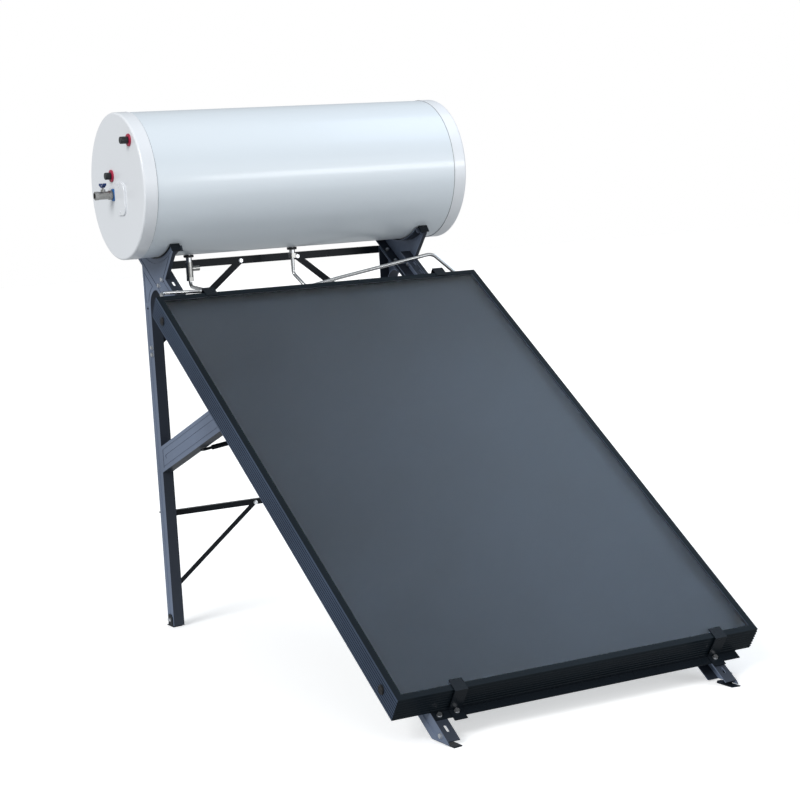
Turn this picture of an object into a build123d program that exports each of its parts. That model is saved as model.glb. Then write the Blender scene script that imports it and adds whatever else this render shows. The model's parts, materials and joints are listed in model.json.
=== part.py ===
from build123d import *
import os
from math import cos, radians, sin, sqrt

# Solar water heater: a flat-plate collector, a storage tank above it, and a folded-steel stand.
# Millimetres. +X runs to the right along the tank, +Y to the back, +Z up. The origin is on the ground,
# under the middle of the whole heater. Two coordinates follow the collector's slope: s runs up the
# slope from the collector's lower edge, and n stands square to it, from the deck that it lies on.

os.makedirs("parts", exist_ok=True)

# ---------------------------------------------------------------- driving dimensions
overall_depth = 2165.0      # front toes to the back of the tank
tilt = 34.5                 # slope of the collector, degrees
deck_run = 1795.0           # level distance from the deck's lower edge to the tank's axis
deck_height = 75.5          # ground to the deck's lower edge

collector_width = 1250.0
collector_length = 1900.0
collector_depth = 80.0
rim_width = 22.0            # lip of the frame over the glass
profile_wall = 2.0
glass_thickness = 3.2
header_radius = 11.0
header_inset = 85.0         # header axis from the collector's ends
port_offset = 575.0         # pipe ports from the middle of the collector's top end

tank_radius = 255.0
tank_length = 1257.0
tank_height = 1594.0        # ground to the tank's axis
cap_skirt = 48.0
vessel_radius = 226.0       # inner pressure tank
vessel_straight = 1020.0
vessel_dish = 50.0
vessel_wall = 2.0

sheet = 3.0                 # stand sheet thickness
web_offset = 500.0          # middle plane to the outer face of the rail and leg webs
rail_depth = 60.0
flange = 40.0
bead = 2.5                  # depth of the pressed bead along a channel's web
leg_setback = 92.5          # tank axis to the leg's front flange
leg_depth = 55.0
head_depth = 78.0           # deck to the back of the flared rail head
saddle_half_angle = 34.0

pipe_radius = 6.35
port_radius = 10.5          # half-inch port nipple
thread_clearance = 0.06
washer_radius = 21.5
washer_thickness = 5.0
valve_length = 65.0

bolt_radius = 4.0
bolt_head = 6.5             # half the width across the flats
bolt_head_height = 5.5
bolt_washer = 1.5
nut_height = 6.5
bolt_end = nut_height + 3.0
header_hole = header_radius + 4.0

# ---------------------------------------------------------------- derived places
valve_reach = washer_thickness + valve_length
mid_x = valve_reach / 2                      # middle plane of collector, tank and stand
tank_y = overall_depth / 2 - tank_radius
toe_y = -overall_depth / 2
deck_y = tank_y - deck_run
cap_face = mid_x - tank_length / 2           # outer face of the left cap
leg_front = tank_y + leg_setback
leg_rear = leg_front + leg_depth
saddle_radius = tank_radius + 0.3
head_radius = saddle_radius + sheet
rise, run = sin(radians(tilt)), cos(radians(tilt))

slope_dir = Vector(0, run, rise)
slope_normal = Vector(0, -rise, run)
deck = Plane(origin=(mid_x, deck_y, deck_height), x_dir=(1, 0, 0), z_dir=slope_normal)
mid_plane = Plane(origin=(mid_x, 0, 0), x_dir=(0, 1, 0), z_dir=(1, 0, 0))


def on_slope(s, n):
    """The (y, z) of a point s up the slope and n above the deck."""
    return deck_y + s * run - n * rise, deck_height + s * rise + n * run


def slope_height(y, n):
    """The z of the line n above the deck, at y."""
    return deck_height + ((y - deck_y) * rise + n) / run


def deck_point(x, s, n):
    """The global point at x from the middle plane, s up the slope and n above the deck."""
    y, z = on_slope(s, n)
    return Vector(mid_x + x, y, z)


def side_plane(x):
    """A plane square to the tank's axis: its x is global Y, its y is global Z."""
    return Plane(origin=(x, 0, 0), x_dir=(0, 1, 0), z_dir=(1, 0, 0))


def toward(point, direction):
    """A plane at the point that faces along the direction."""
    return Plane(origin=point, z_dir=direction)


def save(piece, name):
    """Label a finished piece and write it."""
    piece.part.label = name
    export_step(piece.part, f"parts/{name}.step")


def disc(plane, radius, length, mode=Mode.ADD):
    """A cylinder that stands on the plane, in the open part."""
    with Locations(plane):
        Cylinder(radius, length, align=(Align.CENTER, Align.CENTER, Align.MIN), mode=mode)


def ring(plane, outer, inner, length):
    """A flat ring that stands on the plane, in the open part."""
    with BuildSketch(plane) as washer:
        Circle(outer)
        Circle(inner, mode=Mode.SUBTRACT)
    extrude(washer.sketch, amount=length)


def hexagon(plane, half_width, length):
    """A hexagonal prism that stands on the plane, in the open part."""
    with BuildSketch(plane) as nut:
        RegularPolygon(half_width, 6, major_radius=False)
    extrude(nut.sketch, amount=length)


def twin(piece):
    """The same piece for the other side of the heater."""
    with BuildPart() as other:
        mirror(piece.part, about=mid_plane)
    return other


# ---------------------------------------------------------------- bolts and their holes
rail_middle = web_offset - 20.0              # middle of a rail's or leg's inward flange
beam_gaps = (0.5, 17.0)                      # collector's lower and upper edge to its cross beams
beam_bolt = 14.5                             # a cross beam's stop to its bolts
lower_seat = -beam_gaps[0] - beam_bolt       # s of the bolts through the lower cross beam
upper_seat = collector_length + beam_gaps[1] + beam_bolt
clamp_seats = (-424.0, rail_middle)          # x of the hold-down clamps
bar_heights = (1302.0, 406.0)                # top bar and middle bar
bar_widths = (27.0, 20.0)
strut_widths = (24.0, 16.0)
strut_drop = 2.0                             # strut ends below the middle of their bar
notch_drop = 7.0                             # the top bar's ends are notched under the rail heads
strut_inner = (115.0, 122.0)                 # where the struts meet the bars
strut_feet = (1008.0, 118.0)                 # where the struts meet the legs
brace_slope = 19.7                           # knee brace, degrees
brace_depth = 88.0
brace_foot = 614.0                           # z of the brace's middle at the leg
brace_bolts = (-21.0, 21.0)

# where the brace's middle line meets the back of the rail
brace_rise = sin(radians(brace_slope)) / cos(radians(brace_slope))
brace_end_y = (
    brace_foot + leg_front * brace_rise - slope_height(0, -rail_depth)
) / (rise / run + brace_rise)
brace_end_s = (
    (brace_end_y - deck_y) * run + (slope_height(brace_end_y, -rail_depth) - deck_height) * rise
)


def mirrored_sites(x, y, z, direction, grip, pack=0.0):
    """One bolt on each side: its head's seat, its direction, what it grips and any packing ring."""
    dx, dy, dz = direction
    return [
        (Vector(mid_x - x, y, z), Vector(-dx, dy, dz), grip, pack),
        (Vector(mid_x + x, y, z), Vector(dx, dy, dz), grip, pack),
    ]


head_bolts = ((2115.0, -12.5), (2129.0, -47.5), (1962.0, -12.5), (1962.0, -47.5))   # (s, n)
leg_bolt_heights = (992.0, 1017.0)
leg_head_bolts = (2195.0, 2268.0)            # s of the bolts that join the leg's top to the rail head
web_sites = []
for s, n in head_bolts:
    y, z = on_slope(s, n)
    web_sites += mirrored_sites(web_offset + sheet, y, z, (1, 0, 0), 2 * sheet)
for z in leg_bolt_heights:
    web_sites += mirrored_sites(web_offset, leg_front + 12.0, z, (1, 0, 0), sheet)
foot_bolt_height = 24.0
front_foot_y = toe_y + 60.0
rear_foot_y = leg_front + leg_depth / 2
foot_grip = 2 * sheet + bead
web_sites += mirrored_sites(web_offset, front_foot_y, foot_bolt_height, (1, 0, 0), foot_grip)
web_sites += mirrored_sites(web_offset + sheet, rear_foot_y, foot_bolt_height, (1, 0, 0), foot_grip)

slope_sites = []
for s in leg_head_bolts:
    y, z = on_slope(s, -head_depth - sheet)
    slope_sites += mirrored_sites(rail_middle, y, z, tuple(-slope_normal), 2 * sheet)
for spacing in brace_bolts:
    y, z = on_slope(brace_end_s + spacing, -rail_depth - sheet)
    slope_sites += mirrored_sites(rail_middle, y, z, tuple(-slope_normal), 2 * sheet)
for s in (lower_seat, upper_seat):
    slope_sites.append((deck_point(-rail_middle, s, sheet), slope_normal, 2 * sheet, 0.0))
    slope_sites.append((deck_point(clamp_seats[0], s, 2 * sheet), slope_normal, 2 * sheet, 0.0))
    slope_sites.append((deck_point(clamp_seats[1], s, 2 * sheet), slope_normal, 3 * sheet, 0.0))

level_sites = []
for spacing in brace_bolts:
    z = brace_foot + spacing
    level_sites += mirrored_sites(rail_middle, leg_front - sheet, z, (0, -1, 0), 2 * sheet)
for height, inner, foot in zip(bar_heights, strut_inner, strut_feet):
    leg_seat = height - (notch_drop if height == bar_heights[0] else strut_drop)
    level_sites += mirrored_sites(rail_middle, leg_rear + sheet, leg_seat, (0, 1, 0), 2 * sheet)
    level_sites += mirrored_sites(inner, leg_rear, height - strut_drop, (0, -1, 0), 2 * sheet)
    level_sites += mirrored_sites(rail_middle, leg_rear + 2 * sheet, foot, (0, 1, 0), 3 * sheet, sheet)

bolt_sites = web_sites + slope_sites + level_sites

with BuildPart() as drill:
    with Locations(*[toward(seat, direction) for seat, direction, grip, pack in bolt_sites]):
        Cylinder(bolt_radius + 0.2, 8 * sheet)


def bolt(grip, pack):
    """A hexagon bolt with its washer, nut and any packing ring; its head stands on the XY plane."""
    with BuildPart() as one:
        disc(Plane.XY, bolt_head + bolt_washer, bolt_washer)
        hexagon(Plane.XY.offset(bolt_washer), bolt_head, bolt_head_height)
        disc(Plane.XY.offset(-grip - bolt_end), bolt_radius, grip + bolt_end)
        hexagon(Plane.XY.offset(-grip - nut_height), bolt_head, nut_height)
        if pack:
            disc(Plane.XY.offset(-sheet - pack), bolt_head + 2.0, pack)
    return one


with BuildPart() as stand_bolts:
    for kind in sorted({(grip, pack) for seat, direction, grip, pack in bolt_sites}):
        alike = [site for site in bolt_sites if (site[2], site[3]) == kind]
        with Locations(*[toward(seat, direction) for seat, direction, grip, pack in alike]):
            add(bolt(*kind).part)
save(stand_bolts, "stand_bolts")


# ---------------------------------------------------------------- stand
groove_inset, groove_width, groove_depth = 13.0, 5.0, 1.2
bead_half_share = 0.14                       # half of a channel bead's width, as a share of its depth


def channel_outline(depth):
    """Section of a folded channel: web at x = 0, flanges towards +x, from y = 0 down to -depth."""
    low, high = -depth * (0.5 + bead_half_share), -depth * (0.5 - bead_half_share)
    inner = [(sheet, -sheet), (flange, -sheet), (flange, 0), (0, 0)]
    outer = [(0, -depth), (flange, -depth), (flange, sheet - depth), (sheet, sheet - depth)]
    outer_bead = [(0, high), (bead, high - bead), (bead, low + bead), (0, low)]
    inner_bead = [(sheet, low), (sheet + bead, low + bead), (sheet + bead, high - bead), (sheet, high)]
    return inner + outer_bead + outer + inner_bead


def inset_outline(outline, inset):
    """An outline on a side plane, moved inward, as a sketch for any other side plane."""
    flat = side_plane(0).to_local_coords(outline)
    return offset(flat, amount=-inset, kind=Kind.INTERSECTION, mode=Mode.PRIVATE)


def pressed_tray(outline, open_edges, web_x, width):
    """A sheet with flanges turned inward all round its outline, except along the open edges.

    A shallow groove is pressed into the web's outer face, all along the border.
    """
    with BuildPart() as tray:
        extrude(outline, amount=width)
        with BuildSketch(side_plane(web_x + sheet)) as pocket:
            add(inset_outline(outline, sheet))
            for edge in open_edges:
                with BuildLine():
                    Polyline(*edge, close=True)
                make_face()
        extrude(pocket.sketch, amount=width, mode=Mode.SUBTRACT)
        with BuildSketch(side_plane(web_x)) as groove:
            add(inset_outline(outline, groove_inset))
            add(inset_outline(outline, groove_inset + groove_width), mode=Mode.SUBTRACT)
        extrude(groove.sketch, amount=groove_depth, mode=Mode.SUBTRACT)
        add(drill.part, mode=Mode.SUBTRACT)
    return tray


web_x = mid_x - web_offset
rail_top = 2150.0
slot_length, slot_width = 26.0, 9.0
rail_slots = [-62.0] + [350.0 + 300.0 * k for k in range(5)] + [1970.0 + 50.0 * k for k in range(3)]
overhang = 80.0                              # cutting length past the rail's toe
toe_start = -109.0                           # s where the rail's top flange ends
toe_chamfer = 11.0
toe_edge = on_slope(toe_start, 0)

# Rail: a channel from the ground to under the tank, its open side inward
with BuildPart() as left_rail:
    with BuildSketch(Plane(origin=deck_point(-web_offset, rail_top, 0), x_dir=(1, 0, 0), z_dir=-slope_dir)):
        with BuildLine():
            Polyline(*channel_outline(rail_depth), close=True)
        make_face()
    extrude(amount=rail_top + 250.0)
    split(bisect_by=Plane.XY.offset(sheet), keep=Keep.TOP)
    with BuildSketch(deck) as flange_end:
        with Locations((-web_offset + sheet, toe_start)):
            Rectangle(flange, overhang, align=(Align.MIN, Align.MAX))
    extrude(amount=-sheet, mode=Mode.SUBTRACT)
    with BuildSketch(side_plane(web_x)) as toe_corner:
        with BuildLine():
            Polyline(
                toe_edge, (toe_edge[0] - toe_chamfer, 0), (toe_edge[0] - overhang, 0),
                (toe_edge[0] - overhang, toe_edge[1]), close=True,
            )
        make_face()
    extrude(amount=flange, mode=Mode.SUBTRACT)
    with BuildSketch(deck):
        with Locations(*[(-rail_middle, s) for s in rail_slots]):
            SlotOverall(slot_length, slot_width, rotation=90)
    extrude(amount=-2 * sheet, mode=Mode.SUBTRACT)
    add(drill.part, mode=Mode.SUBTRACT)
save(left_rail, "left_rail")
save(twin(left_rail), "right_rail")


def around_tank(radius, angle):
    """The (y, z) at a radius from the tank's axis, angle degrees from straight down towards the back."""
    return tank_y + radius * sin(radians(angle)), tank_height - radius * cos(radians(angle))


# Rail head: wraps the top of the rail and flares out to carry the saddle
head_start, neck = 1912.0, 2095.0
head_lip = 14.0                              # width of the head's front flange, over the rail's slots
corner_front = around_tank(tank_radius + 27.0, -saddle_half_angle)
axis_n = -(tank_y - deck_y) * rise + (tank_height - deck_height) * run
rear_reach = (axis_n + head_depth) / cos(radians(saddle_half_angle - tilt))
corner_rear = around_tank(rear_reach, saddle_half_angle)
head_low = (on_slope(head_start, -head_depth), on_slope(head_start, sheet))
with BuildSketch(side_plane(web_x - sheet)) as head_outline:
    with BuildLine():
        Polyline(
            around_tank(head_radius, saddle_half_angle), corner_rear, *head_low,
            on_slope(neck, sheet), corner_front, around_tank(head_radius, -saddle_half_angle),
        )
        ThreePointArc(
            around_tank(head_radius, -saddle_half_angle),
            around_tank(head_radius, 0),
            around_tank(head_radius, saddle_half_angle),
        )
    make_face()
head_mouth = [
    on_slope(head_start - 5, -head_depth + sheet), on_slope(head_start - 5, 2 * sheet),
    on_slope(upper_seat + 18, 2 * sheet), on_slope(upper_seat + 18, 0),
    on_slope(head_start + 8, 0), on_slope(head_start + 8, -head_depth + sheet),
]
with BuildPart() as left_rail_head:
    add(pressed_tray(head_outline.sketch, [head_mouth], web_x - sheet, flange).part)
    with BuildSketch(side_plane(web_x - sheet + head_lip)):
        with BuildLine():
            Polyline(on_slope(head_start, 0), on_slope(neck, 0), corner_front)
        trace(line_width=5 * sheet)
    extrude(amount=flange, mode=Mode.SUBTRACT)
save(left_rail_head, "left_rail_head")
save(twin(left_rail_head), "right_rail_head")

# Rear leg: a channel whose top spreads forward and is cut to the slope under the rail head
spread = 60.0
leg_top = -head_depth
arc_centre_y = leg_front - spread
arc_centre_z = slope_height(arc_centre_y, leg_top - spread)


def spread_point(angle):
    """A point of the arc that joins the leg's front to its sloping top."""
    return arc_centre_y + spread * cos(radians(angle)), arc_centre_z + spread * sin(radians(angle))


with BuildSketch(side_plane(web_x)) as leg_outline:
    with BuildLine():
        Polyline(
            spread_point(0), (leg_rear, arc_centre_z), (leg_rear, slope_height(leg_rear, leg_top)),
            spread_point(90 + tilt),
        )
        ThreePointArc(spread_point(90 + tilt), spread_point(45 + tilt / 2), spread_point(0))
    make_face()
leg_mouth = [
    (leg_front + sheet, arc_centre_z - 5), (leg_rear - sheet, arc_centre_z - 5),
    (leg_rear - sheet, arc_centre_z + 12), (leg_front + sheet, arc_centre_z + 12),
]
leg_spread = pressed_tray(leg_outline.sketch, [leg_mouth], web_x, flange)

with BuildPart() as left_rear_leg:
    with BuildSketch(Plane(origin=(web_x, leg_rear, sheet), x_dir=(1, 0, 0), z_dir=(0, 0, 1))):
        with BuildLine():
            Polyline(*channel_outline(leg_depth), close=True)
        make_face()
    extrude(amount=arc_centre_z - sheet)
    add(leg_spread.part)
    with BuildSketch(side_plane(web_x)):
        with Locations((leg_front + 32.0, 1156), (leg_front + 23.0, 1092)):
            Circle(bolt_radius)
    extrude(amount=2 * sheet + bead, mode=Mode.SUBTRACT)
    add(drill.part, mode=Mode.SUBTRACT)
save(left_rear_leg, "left_rear_leg")
save(twin(left_rear_leg), "right_rear_leg")

# Knee brace: a deep pressed channel from the leg forward to the rail
half = brace_depth / 2 / cos(radians(brace_slope))


def brace_corner(side):
    """Where the brace's edge line, side = 1 above or -1 below, meets the back of the rail."""
    lift = brace_foot + side * half + leg_front * brace_rise - slope_height(0, -rail_depth)
    y = lift / (rise / run + brace_rise)
    return y, slope_height(y, -rail_depth)


with BuildSketch(side_plane(web_x)) as brace_outline:
    with BuildLine():
        Polyline(
            (leg_front, brace_foot - half), (leg_front, brace_foot + half),
            brace_corner(1), brace_corner(-1), close=True,
        )
    make_face()
brace_centre_y = (leg_front + brace_end_y) / 2
brace_bead_length = (leg_front - brace_end_y) / cos(radians(brace_slope)) - 80.0
with BuildPart() as left_knee_brace:
    add(pressed_tray(brace_outline.sketch, [], web_x, flange).part)
    with BuildSketch(side_plane(web_x)):
        with Locations((brace_centre_y, brace_foot + (leg_front - brace_centre_y) * brace_rise)):
            SlotOverall(brace_bead_length, 14.0, rotation=-brace_slope)
    extrude(amount=groove_depth, mode=Mode.SUBTRACT)
save(left_knee_brace, "left_knee_brace")
save(twin(left_knee_brace), "right_knee_brace")

# Saddles: curved straps under the tank, each with a turned-out lip at both ends
saddle_width = 34.0
saddle_out = web_offset + 8.0
stud_x = web_offset - 13.0
stud_angles = (-31.0, 31.0)
lip_reach = 24.0
with BuildPart() as left_saddle:
    with BuildSketch(side_plane(mid_x - saddle_out)) as strap:
        with BuildLine():
            Polyline(
                around_tank(saddle_radius, -saddle_half_angle - 2),
                around_tank(head_radius + lip_reach, -saddle_half_angle - 2),
                around_tank(head_radius + lip_reach, -saddle_half_angle - 1.2),
                around_tank(head_radius, -saddle_half_angle - 1.2),
            )
            ThreePointArc(
                around_tank(head_radius, -saddle_half_angle - 1.2), around_tank(head_radius, 0),
                around_tank(head_radius, saddle_half_angle + 1.2),
            )
            Polyline(
                around_tank(head_radius, saddle_half_angle + 1.2),
                around_tank(head_radius + lip_reach, saddle_half_angle + 1.2),
                around_tank(head_radius + lip_reach, saddle_half_angle + 2),
                around_tank(saddle_radius, saddle_half_angle + 2),
            )
            ThreePointArc(
                around_tank(saddle_radius, saddle_half_angle + 2), around_tank(saddle_radius, 0),
                around_tank(saddle_radius, -saddle_half_angle - 2),
            )
        make_face()
    extrude(amount=saddle_width)
with BuildPart() as tank_saddles:
    add(left_saddle.part)
    mirror(left_saddle.part, about=mid_plane)
save(tank_saddles, "tank_saddles")

with BuildPart() as stud_nut:
    disc(Plane.XY, bolt_head + bolt_washer, bolt_washer)
    hexagon(Plane.XY.offset(bolt_washer), bolt_head, nut_height)
    disc(Plane.XY.offset(bolt_washer + nut_height), bolt_radius, 4.0)

with BuildPart() as saddle_nuts:
    for x in (mid_x - stud_x, mid_x + stud_x):
        for angle in stud_angles:
            outward = Vector(0, sin(radians(angle)), -cos(radians(angle)))
            with Locations(toward(Vector(x, *around_tank(head_radius + sheet, angle)), outward)):
                add(stud_nut.part)
save(saddle_nuts, "saddle_nuts")

# Feet: angle plates inside the webs, each with one anchor hole
foot_height, front_foot_length, rear_foot_length = 44.0, 92.0, 60.0
foot_width = 34.0
anchor_radius = 5.5
anchor_x = web_offset - 21.0
front_anchor_y = toe_y + 60.0
rear_anchor_y = leg_front + 30.0


def foot(name, y_low, y_high, anchor_y, wall_x, wall_points):
    """A pair of angle feet between y_low and y_high, each with an upright wall at wall_x."""
    with BuildPart() as left:
        with BuildSketch(Plane.XY):
            with BuildLine():
                Polyline(
                    (wall_x, y_low), (web_x + foot_width, y_low + 5), (web_x + foot_width, y_high - 14),
                    (web_x + foot_width - 12, y_high), (wall_x, y_high), close=True,
                )
            make_face()
        extrude(amount=sheet)
        with BuildSketch(side_plane(wall_x)):
            with BuildLine():
                Polyline(*wall_points, close=True)
            make_face()
        extrude(amount=sheet)
        with BuildSketch(Plane.XY):
            with Locations((mid_x - anchor_x, anchor_y)):
                Circle(anchor_radius)
        extrude(amount=sheet, mode=Mode.SUBTRACT)
        add(drill.part, mode=Mode.SUBTRACT)
    with BuildPart() as pair:
        add(left.part)
        mirror(left.part, about=mid_plane)
    save(pair, name)


wall_low, wall_high = front_foot_y - 20.0, front_foot_y + 20.0
front_wall = [
    (wall_low, 0), (wall_low, slope_height(wall_low, -sheet - 1.5)),
    (wall_high, slope_height(wall_high, -sheet - 1.5)), (wall_high, 0),
]
rear_wall = [
    (rear_foot_y - 20, 0), (rear_foot_y - 20, foot_height - 10), (rear_foot_y - 10, foot_height),
    (rear_foot_y + 10, foot_height), (rear_foot_y + 20, foot_height - 10), (rear_foot_y + 20, 0),
]
foot("front_feet", toe_y, toe_y + front_foot_length, front_anchor_y, web_x + sheet + bead, front_wall)
foot("rear_feet", leg_front, leg_front + rear_foot_length, rear_anchor_y, web_x - sheet, rear_wall)


# Cross bars behind the legs, and the struts that stiffen their corners
def cross_bar(name, height, width, notch):
    """A level angle bar behind the rear legs; its ends are notched down to `notch` above its middle."""
    with BuildPart() as bar:
        with BuildSketch(side_plane(mid_x - web_offset + 2)):
            with BuildLine():
                Polyline(
                    (leg_rear, height - width / 2), (leg_rear + sheet, height - width / 2),
                    (leg_rear + sheet, height + width / 2 - sheet),
                    (leg_rear + width, height + width / 2 - sheet),
                    (leg_rear + width, height + width / 2), (leg_rear, height + width / 2), close=True,
                )
            make_face()
        extrude(amount=2 * web_offset - 4)
        for side in (-1, 1):
            with Locations((mid_x + side * web_offset, leg_rear, height + notch)):
                Box(2 * flange, 4 * flange, width, align=(Align.CENTER, Align.CENTER, Align.MIN),
                    mode=Mode.SUBTRACT)
        add(drill.part, mode=Mode.SUBTRACT)
    save(bar, name)


cross_bar("top_cross_bar", bar_heights[0], bar_widths[0], 0.0)
cross_bar("middle_cross_bar", bar_heights[1], bar_widths[1], bar_widths[1])

with BuildPart() as corner_struts:
    for height, inner, low, width in zip(bar_heights, strut_inner, strut_feet, strut_widths):
        for side in (-1, 1):
            start, end = Vector(side * inner, height - strut_drop), Vector(side * rail_middle, low)
            middle, along = (start + end) / 2, end - start
            with BuildSketch(Plane(origin=(mid_x, leg_rear + sheet, 0), x_dir=(1, 0, 0), z_dir=(0, -1, 0))):
                with Locations((middle.X, middle.Y)):
                    SlotCenterToCenter(
                        along.length, width, rotation=Vector(1, 0).get_signed_angle(along, Vector(0, 0, 1))
                    )
            extrude(amount=-sheet)
    add(drill.part, mode=Mode.SUBTRACT)
save(corner_struts, "corner_struts")

# Cross beams at both ends of the collector: a flat seat on the rails and a low stop
stop_height, seat_width = 9.0, 29.5
ends = ((0.0, -1, beam_gaps[0]), (collector_length, 1, beam_gaps[1]))


def at_edge(edge, outward, gap, points):
    """Points given as (reach beyond the gap at a collector's end, n), as global (y, z)."""
    return [on_slope(edge + outward * (gap + reach), n) for reach, n in points]


with BuildPart() as collector_cross_beams:
    beam_profile = [
        (0, 0), (seat_width, 0), (seat_width, sheet), (sheet, sheet), (sheet, stop_height),
        (0, stop_height),
    ]
    for end, right_end in zip(ends, (565.0, web_offset - 1.0)):
        with BuildSketch(side_plane(mid_x - web_offset + 1.0)):
            with BuildLine():
                Polyline(*at_edge(*end, beam_profile), close=True)
            make_face()
        extrude(amount=web_offset - 1.0 + right_end)
    add(drill.part, mode=Mode.SUBTRACT)
save(collector_cross_beams, "collector_cross_beams")

# Hold-down clamps: over the collector's edge, down its face and out onto the cross beam
clamp_width, clamp_reach, clamp_foot = 42.0, 38.0, 44.5


def clamp_pair(name, end):
    """Two clamps at one end of the collector."""
    top = collector_depth
    points = [
        (-clamp_reach, top), (sheet, top), (sheet, sheet), (clamp_foot, sheet), (clamp_foot, 2 * sheet),
        (2 * sheet, 2 * sheet), (2 * sheet, top + sheet), (-clamp_reach, top + sheet),
    ]
    with BuildPart() as clamps:
        for x in clamp_seats:
            with BuildSketch(side_plane(mid_x + x - clamp_width / 2)):
                with BuildLine():
                    Polyline(*at_edge(*end, points), close=True)
                make_face()
            extrude(amount=clamp_width)
        add(drill.part, mode=Mode.SUBTRACT)
    save(clamps, name)


clamp_pair("lower_clamps", ends[0])
clamp_pair("upper_clamps", ends[1])

# Tie rod: slopes from the foot of the left knee brace to the top of the right one
tie_radius, eye_radius, eye_thickness = 5.0, 11.0, 5.0
tie_inset = rail_middle - 6.0
left_tie_y, right_tie_y = leg_front - 328.0, leg_front - 420.0
tie_left = Vector(
    mid_x - tie_inset, left_tie_y, brace_foot - half + (leg_front - left_tie_y) * brace_rise - 8.0
)
tie_right = Vector(
    mid_x + tie_inset, right_tie_y, brace_foot + half + (leg_front - right_tie_y) * brace_rise + 8.0
)
brace_up = Vector(0, brace_rise, 1).normalized()
with BuildPart() as tie_rod:
    disc(toward(tie_left, tie_right - tie_left), tie_radius, (tie_right - tie_left).length)
    for end in (tie_left, tie_right):
        disc(toward(end - brace_up * eye_thickness / 2, brace_up), eye_radius, eye_thickness)
save(tie_rod, "tie_rod")


# ---------------------------------------------------------------- collector
half_width = collector_width / 2
ridge, ridge_pitch, ridge_count = 1.5, 10.0, 7
shelf_top = collector_depth - 8.0
glass_low = shelf_top + 1.2
back_sheet_thickness = 0.8
header_n = collector_depth / 2
port_hole = pipe_radius + 3.0
profile_cut = 20.0                           # depth of the holes cut through a profile's wall


def frame_bar(name, corner, along, inward, length, holes, ports=()):
    """One mitred bar of the collector's frame, from its corner along its length."""
    across = Plane(origin=corner, x_dir=inward, z_dir=-along)
    with BuildPart() as bar:
        with BuildSketch(across):
            with Locations((ridge, 0)):
                Rectangle(profile_wall, collector_depth, align=(Align.MIN, Align.MIN))
                Rectangle(rim_width - ridge, profile_wall, align=(Align.MIN, Align.MIN))
            with Locations((ridge, collector_depth - profile_wall)):
                Rectangle(rim_width - ridge, profile_wall, align=(Align.MIN, Align.MIN))
            with Locations((ridge, shelf_top - profile_wall)):
                Rectangle(rim_width - 6 - ridge, profile_wall, align=(Align.MIN, Align.MIN))
            with Locations(*[(0, 8 + ridge_pitch * k) for k in range(ridge_count)]):
                Trapezoid(4.5, ridge, 60, rotation=90, align=(Align.CENTER, Align.MAX))
        extrude(amount=-length)
        split(bisect_by=Plane(origin=corner, z_dir=along - inward), keep=Keep.TOP)
        split(bisect_by=Plane(origin=corner + along * length, z_dir=-along - inward), keep=Keep.TOP)
        hole_start = corner + slope_normal * header_n - inward * profile_cut / 4
        for position in holes:
            disc(toward(hole_start + along * position, inward), header_hole, profile_cut, Mode.SUBTRACT)
        for position in ports:
            disc(toward(hole_start + along * position, inward), port_hole, profile_cut, Mode.SUBTRACT)
    save(bar, name)


right = Vector(1, 0, 0)
header_low, header_high = header_inset, collector_length - header_inset
frame_bar("collector_left_profile", deck_point(-half_width, 0, 0), slope_dir, right,
          collector_length, (header_low, header_high))
frame_bar("collector_right_profile", deck_point(half_width, collector_length, 0), -slope_dir, -right,
          collector_length, (header_inset, collector_length - header_inset))
frame_bar("collector_bottom_profile", deck_point(half_width, 0, 0), -right, slope_dir,
          collector_width, ())
frame_bar("collector_top_profile", deck_point(-half_width, collector_length, 0), right, -slope_dir,
          collector_width, (), (half_width - port_offset, half_width + port_offset))


def deck_slab(low, thickness, inset):
    """A slab inside the collector, inset from its sides, in the open part."""
    with BuildSketch(deck.offset(low)) as slab:
        with Locations((0, collector_length / 2)):
            Rectangle(collector_width - 2 * inset, collector_length - 2 * inset)
    extrude(slab.sketch, amount=thickness)


wall_inset = ridge + profile_wall
gasket_inset = wall_inset + 0.3
glass_inset = gasket_inset + 1.5
gasket_inner = rim_width + 2.5
gasket_top = collector_depth - profile_wall
with BuildPart() as collector_glass:
    deck_slab(glass_low, glass_thickness, glass_inset)
save(collector_glass, "collector_glass")

with BuildPart() as glass_gasket:
    deck_slab(shelf_top, gasket_top - shelf_top, gasket_inset)
    with BuildSketch(deck.offset(shelf_top - 1)) as opening:
        with Locations((0, collector_length / 2)):
            Rectangle(collector_width - 2 * gasket_inner, collector_length - 2 * gasket_inner)
    extrude(amount=20, mode=Mode.SUBTRACT)
    add(collector_glass.part, mode=Mode.SUBTRACT)
save(glass_gasket, "glass_gasket")

absorber_n, absorber_inset, absorber_thickness = 52.0, 26.0, 0.8
riser_radius = 5.0
riser_count = 9
riser_pitch = 120.0
with BuildPart() as absorber_plate:
    deck_slab(absorber_n, absorber_thickness, absorber_inset)
save(absorber_plate, "absorber_plate")

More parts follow.
